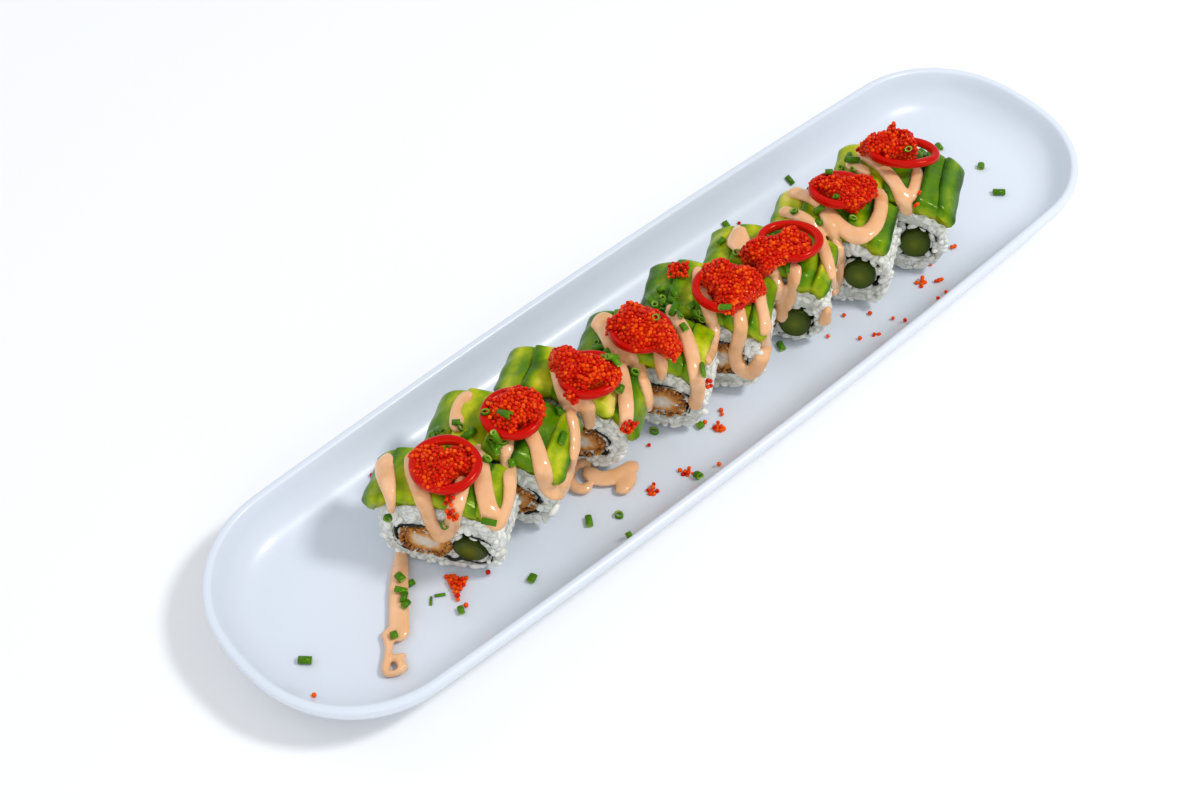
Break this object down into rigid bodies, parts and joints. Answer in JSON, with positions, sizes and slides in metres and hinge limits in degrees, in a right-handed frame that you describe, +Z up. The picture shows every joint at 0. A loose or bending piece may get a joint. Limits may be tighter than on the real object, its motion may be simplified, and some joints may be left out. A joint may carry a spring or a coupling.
{
  "type": "uramaki roll",
  "caption": "Sliced inside-out sushi roll with fried shrimp, asparagus, avocado, chilli rings, roe and sauce on a long white plate",
  "frame": {"origin": "centre of the flat foot ring on the plate's underside", "axes": "+Z up, +X along the long plate from the end with the sauce trail to the far end, +Y across it towards the far long side"},
  "size_m": [0.36, 0.097, 0.0548],
  "materials": {
    "porcelain": "cool white glazed porcelain",
    "rice": "moist translucent white grains",
    "nori": "dark green-black sheet with a dull sheen",
    "shrimp": "golden-brown fried crust round pale flesh",
    "asparagus": "moist olive green",
    "avocado": "yellow-green flesh, darker green at the skin side, moist",
    "chili": "glossy red",
    "roe": "wet translucent orange-red",
    "sauce": "glossy peach cream sauce",
    "chive": "moist green"
  },
  "bodies": {
    "root": {"plate": "porcelain", "rice_1": "rice", "nori_1": "nori", "shrimp_1": "shrimp", "asparagus_1": "asparagus", "avocado_1": "avocado", "chili_1": "chili", "roe_1": "roe", "rice_2": "rice", "nori_2": "nori", "shrimp_2": "shrimp", "asparagus_2": "asparagus", "avocado_2": "avocado", "chili_2": "chili", "roe_2": "roe", "rice_3": "rice", "nori_3": "nori", "shrimp_3": "shrimp", "asparagus_3": "asparagus", "avocado_3": "avocado", "chili_3": "chili", "roe_3": "roe", "rice_4": "rice", "nori_4": "nori", "shrimp_4": "shrimp", "asparagus_4": "asparagus", "avocado_4": "avocado", "chili_4": "chili", "roe_4": "roe", "rice_5": "rice", "nori_5": "nori", "shrimp_5": "shrimp", "asparagus_5": "asparagus", "avocado_5": "avocado", "chili_5": "chili", "roe_5": "roe", "rice_6": "rice", "nori_6": "nori", "shrimp_6": "shrimp", "asparagus_6": "asparagus", "avocado_6": "avocado", "chili_6": "chili", "roe_6": "roe", "rice_7": "rice", "nori_7": "nori", "shrimp_7": "shrimp", "asparagus_7": "asparagus", "avocado_7": "avocado", "chili_7": "chili", "roe_7": "roe", "rice_8": "rice", "nori_8": "nori", "shrimp_8": "shrimp", "asparagus_8": "asparagus", "avocado_8": "avocado", "chili_8": "chili", "roe_8": "roe", "sauce_trail": "sauce", "sauce_puddle": "sauce"}
  },
  "joints": []
}
